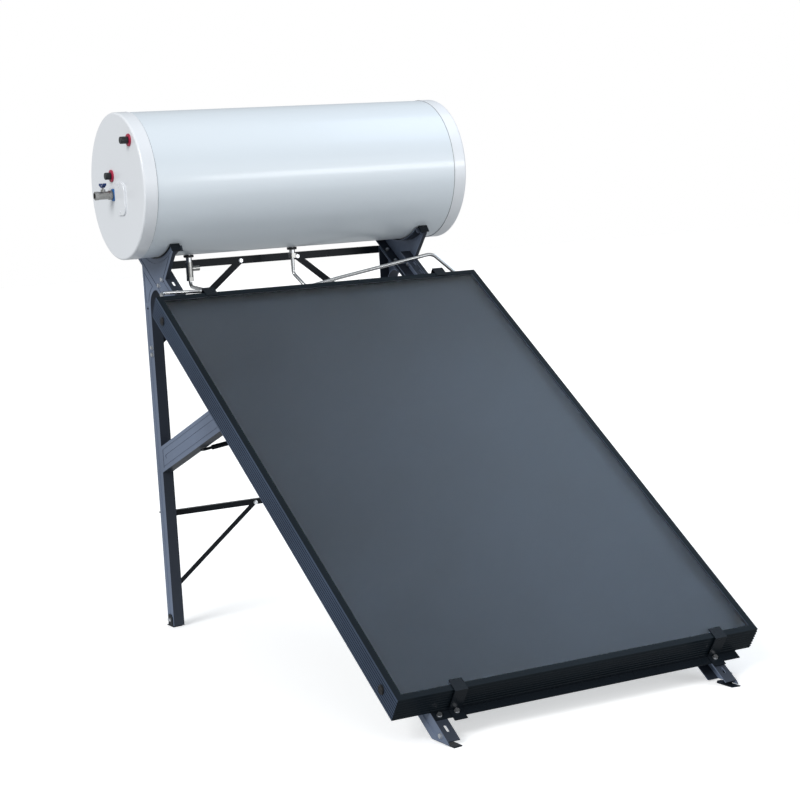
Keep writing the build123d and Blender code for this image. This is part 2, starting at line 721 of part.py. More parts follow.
# Header tubes lie across both ends, and the risers run between them under the absorber
header_end = half_width + 1.0
port_tube_s = collector_length - 34.0
with BuildPart() as header_tubes:
    for s in (header_low, header_high):
        ring(Plane(origin=deck_point(-header_end, s, header_n), x_dir=(0, 1, 0), z_dir=right),
             header_radius, header_radius - 1.0, 2 * header_end)
    for k in range(riser_count):
        x = (k - (riser_count - 1) / 2) * riser_pitch
        disc(toward(deck_point(x, header_low, header_n), slope_dir), riser_radius, 20, Mode.SUBTRACT)
        disc(toward(deck_point(x, header_high, header_n), -slope_dir), riser_radius, 20, Mode.SUBTRACT)
    for x, s in ((-port_offset, header_low), (port_offset, header_high)):
        disc(toward(deck_point(x, s, header_n), slope_dir), riser_radius, 20, Mode.SUBTRACT)
    disc(toward(deck_point(-port_offset, header_high - 20, header_n), slope_dir),
         riser_radius + 0.2, 40, Mode.SUBTRACT)
save(header_tubes, "header_tubes")

riser_start = header_radius - 1.0
with BuildPart() as riser_tubes:
    span = header_high - header_low - 2 * riser_start
    for k in range(riser_count):
        x = (k - (riser_count - 1) / 2) * riser_pitch
        ring(toward(deck_point(x, header_low + riser_start, header_n), slope_dir),
             riser_radius, riser_radius - 0.8, span)
    ring(toward(deck_point(-port_offset, header_low + riser_start, header_n), slope_dir),
         riser_radius, riser_radius - 0.8, port_tube_s - header_low - riser_start)
    ring(toward(deck_point(port_offset, header_high + riser_start, header_n), slope_dir),
         riser_radius, riser_radius - 0.8, port_tube_s - header_high - riser_start)
save(riser_tubes, "riser_tubes")

insulation_low = profile_wall + back_sheet_thickness
with BuildPart() as collector_insulation:
    deck_slab(insulation_low, header_n - header_radius - 1.0 - insulation_low, rim_width + 1.0)
save(collector_insulation, "collector_insulation")

with BuildPart() as collector_back_sheet:
    deck_slab(profile_wall, back_sheet_thickness, gasket_inset)
save(collector_back_sheet, "collector_back_sheet")

# Rubber grommets hold the header ends in the side profiles, and blank plugs close them
plug_flange, plug_radius = 2.0, 14.0
with BuildPart() as header_grommets:
    for side in (-1, 1):
        for s in (header_low, header_high):
            inner_face = deck_point(side * (half_width - wall_inset), s, header_n)
            outward = right * side
            ring(toward(inner_face - outward * 2.0, outward), header_hole + 3.0, header_radius + 0.2, 2.0)
            ring(toward(inner_face, outward), header_hole - 0.1, header_radius + 0.2, wall_inset)
save(header_grommets, "header_grommets")

with BuildPart() as header_plugs:
    for side in (-1, 1):
        for s in (header_low, header_high):
            end = deck_point(side * header_end, s, header_n)
            outward = right * side
            disc(toward(end, outward), plug_radius, plug_flange)
            disc(toward(end - outward * 12.0, outward), header_radius - 1.2, 12.0)
save(header_plugs, "header_plugs")


# ---------------------------------------------------------------- tank
def tank_half_profile(radius, straight, dish):
    """Half section of a round tank with dished ends, as (along the axis, radius) points and arcs."""
    with BuildSketch(Plane.XY) as half_section:
        with BuildLine():
            Line((-straight / 2 - dish, 0), (straight / 2 + dish, 0))
            for side in (-1, 1):
                centre_shift = (radius**2 - dish**2) / (2 * dish)
                bulge = sqrt((radius**2 + dish**2) ** 2 / (4 * dish**2) - (radius / 2) ** 2) - centre_shift
                ThreePointArc(
                    (side * (straight / 2 + dish), 0),
                    (side * (straight / 2 + bulge), radius / 2),
                    (side * straight / 2, radius),
                )
            Line((-straight / 2, radius), (straight / 2, radius))
        make_face()
    return half_section.sketch


tank_axis = Axis((mid_x, tank_y, tank_height), (1, 0, 0))
axis_plane = Plane(origin=(mid_x, tank_y, tank_height), x_dir=(1, 0, 0), z_dir=(0, -1, 0))


def dished_solid(radius, straight, dish):
    """A closed round tank shape about the tank's axis."""
    with BuildPart() as solid:
        revolve(axis_plane * tank_half_profile(radius, straight, dish), axis=tank_axis)
    return solid


vessel_outside = dished_solid(vessel_radius, vessel_straight, vessel_dish)
vessel_inside = dished_solid(vessel_radius - vessel_wall, vessel_straight, vessel_dish - vessel_wall)

# Ports through the left cap, as (y, z) from the tank's axis
hot_port = (tank_y - 146.0, tank_height + 154.0)
relief_port = (tank_y + 42.0, tank_height + 38.0)
cold_port = (tank_y + 37.0, tank_height - 28.0)
heater_port = (tank_y - 33.0, tank_height - 44.0)
left_ports = (hot_port, relief_port, cold_port)
bottom_ports = (mid_x - 380.0, mid_x + 25.0)
port_wall = 2.0
heater_radius = 40.0
heater_wall = 3.0
nipple_reach = (27.0, 20.0, 16.0)            # how far each nipple stands out of the cap
stub_reach = (37.0, 29.0)                    # how far the bottom stubs stand out of the jacket
cap_wall = 1.2
jacket_wall = 1.0


def cap_point(port, out):
    """A point of a left port's axis, `out` outside the cap's face."""
    return Vector(cap_face - out, *port)


west = Vector(-1, 0, 0)
down = Vector(0, 0, -1)
inner_end = 130.0                            # how deep the port tubes reach in from the cap

with BuildPart() as inner_tank:
    add(vessel_outside.part)
    disc(toward(cap_point(heater_port, -inner_end), west), heater_radius, inner_end - 14.0)
    add(vessel_inside.part, mode=Mode.SUBTRACT)
    disc(toward(cap_point(heater_port, -inner_end), west), heater_radius - heater_wall, inner_end,
         Mode.SUBTRACT)
    for port in left_ports:
        disc(toward(cap_point(port, -inner_end), west), port_radius, inner_end, Mode.SUBTRACT)
    for x in bottom_ports:
        disc(toward((x, tank_y, tank_height - vessel_radius + 30), down), port_radius, 50, Mode.SUBTRACT)
save(inner_tank, "inner_tank")

with BuildPart() as port_nipples:
    for port, reach in zip(left_ports, nipple_reach):
        ring(toward(cap_point(port, -inner_end + 12), west), port_radius, port_radius - port_wall,
             inner_end - 12 + reach)
save(port_nipples, "port_nipples")

with BuildPart() as bottom_stubs:
    for x, reach in zip(bottom_ports, stub_reach):
        ring(toward((x, tank_y, tank_height - vessel_radius + 12), down), port_radius,
             port_radius - port_wall, tank_radius - vessel_radius + 12 + reach)
save(bottom_stubs, "bottom_stubs")

jacket_radius = tank_radius - cap_wall - 0.4
cap_edge = 7.0
jacket_inset = cap_edge + 7.0
with BuildPart() as tank_jacket:
    ring(toward((cap_face + jacket_inset, tank_y, tank_height), (1, 0, 0)), jacket_radius,
         jacket_radius - jacket_wall, tank_length - 2 * jacket_inset)
    for x in bottom_ports:
        disc(toward((x, tank_y, tank_height - vessel_radius), down), port_radius + 3.0, 60, Mode.SUBTRACT)
save(tank_jacket, "tank_jacket")


def build_cap(face_x, inward):
    """A pressed end cap: a flat face, a rolled edge and a skirt over the jacket."""
    axis = Axis((face_x, tank_y, tank_height), (1, 0, 0))
    with BuildPart() as cap:
        for radius, edge, start, mode in (
            (tank_radius, cap_edge, 0.0, Mode.ADD),
            (tank_radius - cap_wall, cap_edge - cap_wall, cap_wall, Mode.SUBTRACT),
        ):
            with BuildSketch(Plane(origin=(face_x, tank_y, tank_height), x_dir=(inward, 0, 0),
                                   z_dir=(0, -inward, 0))) as section:
                with BuildLine():
                    Polyline((start + edge, radius), (cap_skirt + start, radius), (cap_skirt + start, 0),
                             (start, 0), (start, radius - edge))
                    RadiusArc((start, radius - edge), (start + edge, radius), edge)
                make_face()
            revolve(section.sketch, axis=axis, mode=mode)
    return cap


left_cap_blank = build_cap(cap_face, 1)
with BuildPart() as tank_left_cap:
    add(left_cap_blank.part)
    for port in left_ports:
        disc(toward(cap_point(port, -10), west), port_radius + 1.5, 20, Mode.SUBTRACT)
    disc(toward(cap_point(heater_port, -10), west), heater_radius + 2.0, 20, Mode.SUBTRACT)
save(tank_left_cap, "tank_left_cap")
save(build_cap(cap_face + tank_length, -1), "tank_right_cap")

with BuildPart() as tank_insulation:
    disc(toward((cap_face + jacket_inset, tank_y, tank_height), (1, 0, 0)),
         jacket_radius - jacket_wall - 0.3, tank_length - 2 * jacket_inset)
    add(vessel_outside.part, mode=Mode.SUBTRACT)
    for port in left_ports:
        disc(toward(cap_point(port, -inner_end), west), port_radius + 0.2, inner_end, Mode.SUBTRACT)
    disc(toward(cap_point(heater_port, -inner_end), west), heater_radius + 2.0, inner_end, Mode.SUBTRACT)
    for x in bottom_ports:
        disc(toward((x, tank_y, tank_height - vessel_radius + 20), down), port_radius + 0.2, 80,
             Mode.SUBTRACT)
save(tank_insulation, "tank_insulation")

# Heater: a flange on the tank's collar carries a hairpin element and the anode rod
flange_seat, flange_plate = -14.0, 8.0
element_radius, element_span, element_length = 4.0, 36.0, 420.0
with BuildPart() as heating_element:
    disc(toward(cap_point(heater_port, flange_seat), west), heater_radius, flange_plate)
    heater_y, heater_z = heater_port
    for side in (-1, 1):
        terminal = (heater_y + side * element_span / 2, heater_z)
        disc(toward(cap_point(terminal, flange_seat + flange_plate), west), 2.5, 5.0)
    loop_x = cap_face - flange_seat + element_length
    element_start = (cap_face - flange_seat - 1, heater_y - element_span / 2, heater_z)
    with BuildLine() as hairpin:
        Line(element_start, (loop_x, heater_y - element_span / 2, heater_z))
        ThreePointArc((loop_x, heater_y - element_span / 2, heater_z),
                      (loop_x + element_span / 2, heater_y, heater_z),
                      (loop_x, heater_y + element_span / 2, heater_z))
        Line((loop_x, heater_y + element_span / 2, heater_z),
             (cap_face - flange_seat - 1, heater_y + element_span / 2, heater_z))
    with BuildSketch(toward(element_start, (1, 0, 0))):
        Circle(element_radius)
    sweep(path=hairpin.line)
save(heating_element, "heating_element")

with BuildPart() as anode_rod:
    disc(toward((cap_face - flange_seat, heater_y, heater_z + 22), (1, 0, 0)), 9.0, 300.0)
save(anode_rod, "anode_rod")

cover_width, cover_height, cover_depth, cover_corner = 92.0, 114.0, 6.0, 32.0
with BuildPart() as heater_cover:
    with BuildSketch(side_plane(cap_face)):
        with Locations(heater_port):
            RectangleRounded(cover_width, cover_height, cover_corner)
    extrude(amount=-cover_depth)
    fillet(heater_cover.faces().sort_by(Axis.X)[0].edges(), 3)
    with BuildSketch(side_plane(cap_face)):
        with Locations(heater_port):
            RectangleRounded(cover_width - 4, cover_height - 4, cover_corner - 2)
    extrude(amount=-cover_depth + 1.5, mode=Mode.SUBTRACT)
save(heater_cover, "heater_cover")

with BuildPart() as hot_port_washers:
    for port in (hot_port, relief_port):
        ring(toward(cap_point(port, 0), west), washer_radius, port_radius + 0.3, washer_thickness)
    fillet(hot_port_washers.faces().filter_by(Axis.X).sort_by(Axis.X)[:2].edges()
           .filter_by(GeomType.CIRCLE).group_by(SortBy.RADIUS)[-1], 1.5)
save(hot_port_washers, "hot_port_washers")

with BuildPart() as cold_port_washer:
    ring(toward(cap_point(cold_port, 0), west), washer_radius, port_radius + 0.3, washer_thickness)
    fillet(cold_port_washer.faces().filter_by(Axis.X).sort_by(Axis.X)[0].edges()
           .filter_by(GeomType.CIRCLE).group_by(SortBy.RADIUS)[-1], 1.5)
save(cold_port_washer, "cold_port_washer")

# Screw caps on the two hot ports, each with a loose sealing disc inside
cap_bore = port_radius + thread_clearance
cap_outer = 12.5
cap_gap = 0.3
seal_thickness = 2.0
for name, port, reach in zip(("hot_port", "relief_port"), left_ports, nipple_reach):
    start = washer_thickness + cap_gap
    with BuildPart() as seal:
        disc(toward(cap_point(port, reach + 0.1), west), port_radius - 0.3, seal_thickness)
    save(seal, f"{name}_seal")
    with BuildPart() as cap:
        length = reach + 0.1 + seal_thickness + 3.1 - start
        disc(toward(cap_point(port, start), west), cap_outer, length)
        fillet(cap.faces().sort_by(Axis.X)[0].edges(), 2.0)
        grip = toward(cap_point(port, start), west)
        with BuildSketch(grip):
            with PolarLocations(cap_outer + 0.3, 18):
                Circle(0.9)
        extrude(amount=length - 4.0, mode=Mode.SUBTRACT)
        bore_depth = reach + 0.2 + seal_thickness - start
        disc(toward(cap_point(port, start), west), cap_bore, bore_depth, Mode.SUBTRACT)
    save(cap, f"{name}_cap")

# ---------------------------------------------------------------- cold inlet valve
valve_start = washer_thickness
ball_out = valve_start + 33.0
ball_radius = 9.5
bore_radius = 6.0
socket_depth = 13.0
socket_radius = 9.3
barrel_radius = 14.0
stem_radius = 4.0
boss_radius = 8.0
boss_height = 21.0
handle_height = 27.0
handle_seat = handle_height + 2.5
handle_screw = 2.5
ball_centre = cap_point(cold_port, ball_out)
up = Vector(0, 0, 1)

with BuildPart() as valve_body:
    hexagon(toward(cap_point(cold_port, valve_start), west), 14.0, 15.0)
    disc(toward(cap_point(cold_port, valve_start + 15), west), barrel_radius, valve_length - 29)
    hexagon(toward(cap_point(cold_port, valve_start + valve_length - 14), west), 13.0, 14.0)
    disc(toward(ball_centre, up), boss_radius, boss_height)
    disc(toward(cap_point(cold_port, valve_start), west), port_radius + 0.1, socket_depth, Mode.SUBTRACT)
    disc(toward(cap_point(cold_port, valve_start), west), bore_radius, valve_length, Mode.SUBTRACT)
    disc(toward(cap_point(cold_port, valve_start + valve_length - socket_depth), west), socket_radius,
         socket_depth, Mode.SUBTRACT)
    disc(toward(ball_centre - west * 12.0, west), ball_radius + 0.8, 24.0, Mode.SUBTRACT)
    disc(toward(ball_centre, up), stem_radius + 0.05, boss_height + 1, Mode.SUBTRACT)
save(valve_body, "valve_body")

seat_section = [(7.0, 6.8), (7.8, bore_radius), (12.0, bore_radius), (12.0, 10.2), (7.0, 10.2)]
with BuildPart() as valve_seats:
    for side in (-1, 1):
        with BuildSketch(Plane(origin=ball_centre, x_dir=(side, 0, 0), z_dir=(0, 0, 1))):
            with BuildLine():
                Polyline(*[(x, side * r) for x, r in seat_section], close=True)
            make_face()
        revolve(axis=Axis(ball_centre, (1, 0, 0)))
save(valve_seats, "valve_seats")

# The ball is shut at rest: its bore lies across the pipe, with a slot on top for the stem's tongue
tongue, slot_depth = 3.0, 3.0
with BuildPart() as valve_ball:
    with Locations(ball_centre):
        Sphere(ball_radius)
    disc(toward(ball_centre - Vector(0, 15, 0), (0, 1, 0)), bore_radius, 30.0, Mode.SUBTRACT)
    with Locations(ball_centre + up * (ball_radius - slot_depth / 2 + 0.5)):
        Box(tongue + 0.1, 2 * ball_radius, slot_depth + 1, mode=Mode.SUBTRACT)
save(valve_ball, "valve_ball")

stem_foot = ball_radius - slot_depth + 0.2
with BuildPart() as valve_stem:
    with Locations(ball_centre + up * (stem_foot + 1.9)):
        Box(tongue, 6.0, 3.8)
    stem_start = ball_radius + 0.6
    disc(toward(ball_centre + up * stem_start, up), stem_radius, handle_seat - stem_start)
    disc(toward(ball_centre + up * handle_seat, up), handle_screw, 9.0)
save(valve_stem, "valve_stem")

# Butterfly handle: a hub with two wings that rise outward, across the pipe when shut
wing_reach, wing_rise, wing_thickness = 21.0, 11.0, 3.0
wing = [(-6, 0), (6, 0), (8, 2), (wing_reach, wing_rise - 3), (wing_reach + 1, wing_rise + 5),
        (12, wing_rise), (5, 5), (-5, 5), (-12, wing_rise), (-wing_reach - 1, wing_rise + 5),
        (-wing_reach, wing_rise - 3), (-8, 2)]
handle_z = ball_centre.Z + handle_height
with BuildPart() as valve_handle:
    disc(toward(ball_centre + up * handle_height, up), 8.0, 4.0)
    with BuildSketch(side_plane(ball_centre.X - 6.0)) as wings:
        with BuildLine():
            Polyline(*[(ball_centre.Y + y, handle_z + z) for y, z in wing], close=True)
        make_face()
    extrude(amount=12.0)
    fillet(valve_handle.edges().filter_by(Axis.X).group_by(Axis.Z)[-1], 1.5)
    disc(toward(ball_centre + up * (handle_height - 1), up), stem_radius, 3.5, Mode.SUBTRACT)
    disc(toward(ball_centre + up * handle_seat, up), handle_screw, 20.0, Mode.SUBTRACT)
save(valve_handle, "valve_handle")

with BuildPart() as handle_nut:
    hexagon(toward(ball_centre + up * (handle_height + 5.0), up), 5.0, 4.0)
    disc(toward(ball_centre + up * handle_height, up), handle_screw, 20.0, Mode.SUBTRACT)
save(handle_nut, "handle_nut")

# ---------------------------------------------------------------- pipes under the tank
jacket_bottom = tank_height - tank_radius
left_stub_end, middle_stub_end = [jacket_bottom - reach for reach in stub_reach]
with BuildPart() as port_grommets:
    for x in bottom_ports:
        ring(toward((x, tank_y, jacket_bottom + 0.6), down), 18.0, port_radius + 0.2, 9.0)
    fillet(port_grommets.faces().filter_by(Axis.Z).sort_by(Axis.Z)[:2].edges()
           .filter_by(GeomType.CIRCLE).group_by(SortBy.RADIUS)[-1], 3.0)
    disc(toward((cap_face + 60, tank_y, tank_height), (1, 0, 0)), tank_radius - cap_wall - 0.3,
         tank_length - 120, Mode.SUBTRACT)
save(port_grommets, "port_grommets")

# Tee on the left stub, with its side branch to the right
tee_radius, tee_length, branch_length = 12.5, 52.0, 37.0
branch_radius, branch_bore, branch_socket = 9.0, 6.8, 14.0
socket = 12.0
left_x, middle_x = bottom_ports
tee_top = left_stub_end + socket
tee_bottom = tee_top - tee_length
tee_z = tee_bottom + 29.0
with BuildPart() as supply_tee:
    disc(toward((left_x, tank_y, tee_top), down), tee_radius, tee_top - tee_bottom)
    disc(toward((left_x, tank_y, tee_z), right), branch_radius, branch_length)
    disc(toward((left_x, tank_y, tee_top), down), port_radius + 0.1, socket, Mode.SUBTRACT)
    disc(toward((left_x, tank_y, tee_top), down), pipe_radius - 0.5, tee_length, Mode.SUBTRACT)
    disc(toward((left_x, tank_y, tee_z), right), 5.0, branch_length, Mode.SUBTRACT)
    disc(toward((left_x + branch_length - branch_socket, tank_y, tee_z), right), branch_bore, branch_socket,
         Mode.SUBTRACT)
save(supply_tee, "supply_tee")


def bent_pipe(name, route, radii):
    """A stainless pipe along straight runs and tangent bends."""
    with BuildPart() as pipe:
        with BuildLine() as path:
            FilletPolyline(*route, radius=radii)
        with BuildSketch(toward(route[0], Vector(*route[1]) - Vector(*route[0]))) as bore:
            Circle(pipe_radius)
            Circle(pipe_radius - 1.0, mode=Mode.SUBTRACT)
        sweep(bore.sketch, path=path.line)
    save(pipe, name)


# The pipes reach the collector's top end along its slope
port_seat = collector_length - 26.0


def route_to_port(x, reach):
    """The last two points of a pipe that enters the collector's top end at x."""
    turn = deck_point(x, collector_length + reach, header_n)
    return tuple(turn), tuple(deck_point(x, port_seat, header_n))


cold_turn, cold_end = route_to_port(-port_offset, 68.0)
bent_pipe("cold_pipe", [
    (left_x, tank_y, tee_bottom), (left_x, tank_y, jacket_bottom - 111),
    (left_x - 18, cold_turn[1], cold_turn[2] - 5), cold_turn, cold_end,
], [20, 24, 16])
hot_turn, hot_end = route_to_port(port_offset, 42.0)
bent_pipe("hot_pipe", [
    (middle_x, tank_y, middle_stub_end), (middle_x, tank_y, jacket_bottom - 94),
    (middle_x + 24, tank_y - 50, jacket_bottom - 146), (middle_x + 145, tank_y - 80, jacket_bottom - 120),
    (mid_x + 507, tank_y - 178, jacket_bottom - 56), hot_turn, hot_end,
], [22, 22, 60, 38, 16])

nut_length = 14.0
with BuildPart() as union_nuts:
    for top, half_size in (((left_x, tank_y, tee_bottom), 12.0),):
        hexagon(toward(Vector(*top) + down * 0.5, down), half_size, nut_length)
    hexagon(toward((middle_x, tank_y, middle_stub_end + 8.0), down), 13.0, nut_length + 3)
    for x in (-port_offset, port_offset):
        hexagon(toward(deck_point(x, collector_length + 1.0, header_n), slope_dir), 11.0, nut_length)
    disc(toward((left_x, tank_y, tee_bottom + 10), down), pipe_radius + 0.15, 50, Mode.SUBTRACT)
    disc(toward((middle_x, tank_y, middle_stub_end + 20), down), pipe_radius + 0.15, 60, Mode.SUBTRACT)
    disc(toward((middle_x, tank_y, middle_stub_end + 20), down), port_radius + 0.1, 20, Mode.SUBTRACT)
    for x in (-port_offset, port_offset):
        disc(toward(deck_point(x, port_seat, header_n), slope_dir), pipe_radius + 0.15, 80, Mode.SUBTRACT)
save(union_nuts, "union_nuts")
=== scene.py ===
"""Looks for the solar water heater: materials, small visual pieces, light and camera."""
import math

import bmesh
import bpy
from mathutils import Matrix, Vector
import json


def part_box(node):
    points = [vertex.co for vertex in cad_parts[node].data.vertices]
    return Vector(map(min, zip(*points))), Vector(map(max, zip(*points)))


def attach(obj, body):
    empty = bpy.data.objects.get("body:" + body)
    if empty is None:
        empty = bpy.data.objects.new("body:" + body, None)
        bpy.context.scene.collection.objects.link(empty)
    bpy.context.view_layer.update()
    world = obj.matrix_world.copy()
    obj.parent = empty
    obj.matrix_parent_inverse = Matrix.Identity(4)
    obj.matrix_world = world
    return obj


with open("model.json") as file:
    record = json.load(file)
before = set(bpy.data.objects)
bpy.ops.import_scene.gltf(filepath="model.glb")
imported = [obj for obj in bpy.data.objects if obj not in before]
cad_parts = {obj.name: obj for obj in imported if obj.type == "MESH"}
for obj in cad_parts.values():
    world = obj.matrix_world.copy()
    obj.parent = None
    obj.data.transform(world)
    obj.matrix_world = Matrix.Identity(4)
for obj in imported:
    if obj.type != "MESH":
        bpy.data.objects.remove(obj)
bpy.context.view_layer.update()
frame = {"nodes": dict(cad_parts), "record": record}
nodes = frame["nodes"]

# ---------------------------------------------------------------- directions
TILT = math.radians(34.5)  # of the collector
SLOPE = Vector((0, math.cos(TILT), math.sin(TILT)))
NORMAL = Vector((0, -math.sin(TILT), math.cos(TILT)))
RIGHT = Vector((1, 0, 0))
UP = Vector((0, 0, 1))


# ---------------------------------------------------------------- material building blocks
class Paint:
    """A Principled material whose node tree is built up by short calls."""

    def __init__(self, name, **values):
        self.material = bpy.data.materials.new(name)
        self.material.use_nodes = True
        self.tree = self.material.node_tree
        self.shader = self.tree.nodes["Principled BSDF"]
        for socket, value in values.items():
            self.shader.inputs[socket.replace("_", " ")].default_value = value
        self.place = self.node("ShaderNodeTexCoord").outputs["Object"]

    def node(self, kind, **settings):
        made = self.tree.nodes.new(kind)
        for key, value in settings.items():
            setattr(made, key, value)
        return made

    def link(self, source, target):
        self.tree.links.new(source, target)

    def noise(self, scale, detail):
        """Cloudy values in object space; a larger scale gives finer grain."""
        made = self.node("ShaderNodeTexNoise")
        made.inputs["Scale"].default_value = scale
        made.inputs["Detail"].default_value = detail
        self.link(self.place, made.inputs["Vector"])
        return made.outputs["Fac"]

    def ramp(self, source, stops):
        """Colours blended along a value, from (position, colour) stops."""
        made = self.node("ShaderNodeValToRGB")
        ramp = made.color_ramp
        while len(ramp.elements) < len(stops):
            ramp.elements.new(0.5)
        for element, (position, colour) in zip(ramp.elements, stops):
            element.position = position
            element.color = (*colour, 1.0)
        self.link(source, made.inputs["Fac"])
        return made.outputs["Color"]

    def side_light_mask(self):
        """1 on the faces that look along the tank's length, 0 on the others; it sets where painted
        side light goes.
        """
        split = self.node("ShaderNodeSeparateXYZ")
        normal = self.node("ShaderNodeTexCoord").outputs["Normal"]
        self.link(normal, split.inputs["Vector"])
        size = self.node("ShaderNodeMath", operation="ABSOLUTE")
        self.link(split.outputs["X"], size.inputs[0])
        mask = self.node("ShaderNodeMapRange", interpolation_type="SMOOTHSTEP")
        mask.inputs["From Min"].default_value = 0.45
        mask.inputs["From Max"].default_value = 0.75
        self.link(size.outputs["Value"], mask.inputs["Value"])
        return mask.outputs["Result"]

    def blend(self, mask, first, second):
        """One colour where the mask is 0 and another where it is 1."""
        made = self.node("ShaderNodeMix", data_type="RGBA")
        self.link(mask, made.inputs["Factor"])
        self.link(first, made.inputs["A"])
        self.link(second, made.inputs["B"])
        return made.outputs["Result"]

    def span(self, source, low, high):
        """A value that runs from low to high as the source runs from 0 to 1."""
        made = self.node("ShaderNodeMapRange")
        made.inputs["To Min"].default_value = low
        made.inputs["To Max"].default_value = high
        self.link(source, made.inputs["Value"])
        return made.outputs["Result"]

    def colour(self, source):
        """Sets the base colour."""
        self.link(source, self.shader.inputs["Base Color"])
        return self

    def rough(self, source, low, high):
        """Varies the roughness from low to high."""
        self.link(self.span(source, low, high), self.shader.inputs["Roughness"])
        return self

    def bump(self, source, distance, strength=0.3):
        """Adds relief of a given depth in metres, over any relief already there."""
        made = self.node("ShaderNodeBump")
        made.inputs["Distance"].default_value = distance
        made.inputs["Strength"].default_value = strength
        self.link(source, made.inputs["Height"])
        previous = self.shader.inputs["Normal"]
        if previous.is_linked:
            self.link(previous.links[0].from_socket, made.inputs["Normal"])
        self.link(made.outputs["Normal"], previous)
        return self


def tone(colour, factor):
    """A colour made lighter or darker."""
    return tuple(min(1.0, channel * factor) for channel in colour)


def cloudy(paint, source, colour, darker, lighter):
    """A colour that drifts between a darker and a lighter tone of itself."""
    return paint.ramp(source, [(0.3, tone(colour, darker)), (0.7, tone(colour, lighter))])


def orange_peel(paint, grain):
    """The relief of powder coat: a fine grain over a long, shallow wave."""
    return paint.bump(paint.noise(900.0, 2.0), grain).bump(paint.noise(60.0, 1.0), 0.0004, 0.12)


def powder_coat(name, colour, low, high, shine=0.3):
    """Powder-coated sheet steel: fine orange peel, cloudy tone and soft wear."""
    paint = Paint(name, IOR=1.5, Specular_IOR_Level=shine)
    paint.colour(cloudy(paint, paint.noise(3.0, 4.0), colour, 0.86, 1.14))
    paint.rough(paint.noise(22.0, 3.0), low, high)
    return orange_peel(paint, 0.00012)


def coat_with_painted_side_light(name, edge, web, low, high, shine):
    """Powder coat with painted side light and shade: lighter on the web faces, which look along the
    tank's length, than on the flanges.
    """
    paint = Paint(name, IOR=1.5, Specular_IOR_Level=shine)
    cloud = paint.noise(3.0, 4.0)
    shaded_tones = cloudy(paint, cloud, edge, 0.86, 1.14)
    lit_tones = cloudy(paint, cloud, web, 0.84, 1.16)
    paint.colour(paint.blend(paint.side_light_mask(), shaded_tones, lit_tones))
    paint.rough(paint.noise(22.0, 3.0), low, high)
    return orange_peel(paint, 0.00008)


def enamel(name, colour):
    """Gloss enamel on rolled sheet: a clean surface with a faint waviness."""
    paint = Paint(name, IOR=1.5, Coat_Weight=0.3, Coat_Roughness=0.10)
    paint.colour(cloudy(paint, paint.noise(1.6, 3.0), colour, 0.992, 1.006))
    paint.rough(paint.noise(2.0, 1.0), 0.27, 0.31)
    return paint.bump(paint.noise(900.0, 1.0), 0.00005, 0.12)


def bright_metal(name, colour, low, high, marks=160.0):
    """Bare metal with fine marks all over."""
    paint = Paint(name, Metallic=1.0)
    fine = paint.noise(marks, 4.0)
    paint.colour(cloudy(paint, paint.noise(18.0, 3.0), colour, 0.88, 1.08))
    paint.rough(fine, low, high)
    return paint.bump(fine, 0.0001, 0.2)


def moulded(name, colour, low, high):
    """Rubber or moulded plastic with a fine texture."""
    paint = Paint(name, IOR=1.48)
    paint.colour(cloudy(paint, paint.noise(40.0, 4.0), colour, 0.8, 1.2))
    paint.rough(paint.noise(120.0, 2.0), low, high)
    return paint.bump(paint.noise(1400.0, 2.0), 0.0002, 0.25)


def solar_glass():
    """Low-iron solar glass: a finely dimpled face that blurs what lies under it."""
    paint = Paint("solar_glass", Base_Color=(0.88, 0.93, 0.96, 1), IOR=1.25, Transmission_Weight=1.0)
    paint.rough(paint.noise(4.0, 2.0), 0.26, 0.36)
    return paint.bump(paint.noise(420.0, 2.0), 0.0003, 0.25)


def absorber():
    """Selective coating: dark blue, cloudy, with faint waves along the risers."""
    paint = Paint("absorber_coating", IOR=1.4)
    dark, light = (0.012, 0.018, 0.030), (0.028, 0.038, 0.058)
    paint.colour(paint.ramp(paint.noise(1.3, 3.0), [(0.3, dark), (0.7, light)]))
    paint.rough(paint.noise(8.0, 3.0), 0.40, 0.55)
    wave = paint.node("ShaderNodeTexWave", bands_direction="X")
    wave.inputs["Scale"].default_value = 0.87
    paint.link(paint.place, wave.inputs["Vector"])
    return paint.bump(wave.outputs["Fac"], 0.0005, 0.1)


def fibrous(name, colour):
    """Wool or foam: coarse, matte and uneven."""
    paint = Paint(name, IOR=1.4)
    paint.colour(cloudy(paint, paint.noise(60.0, 5.0), colour, 0.75, 1.15))
    paint.rough(paint.noise(90.0, 3.0), 0.85, 0.95)
    return paint.bump(paint.noise(150.0, 5.0), 0.002, 0.5)
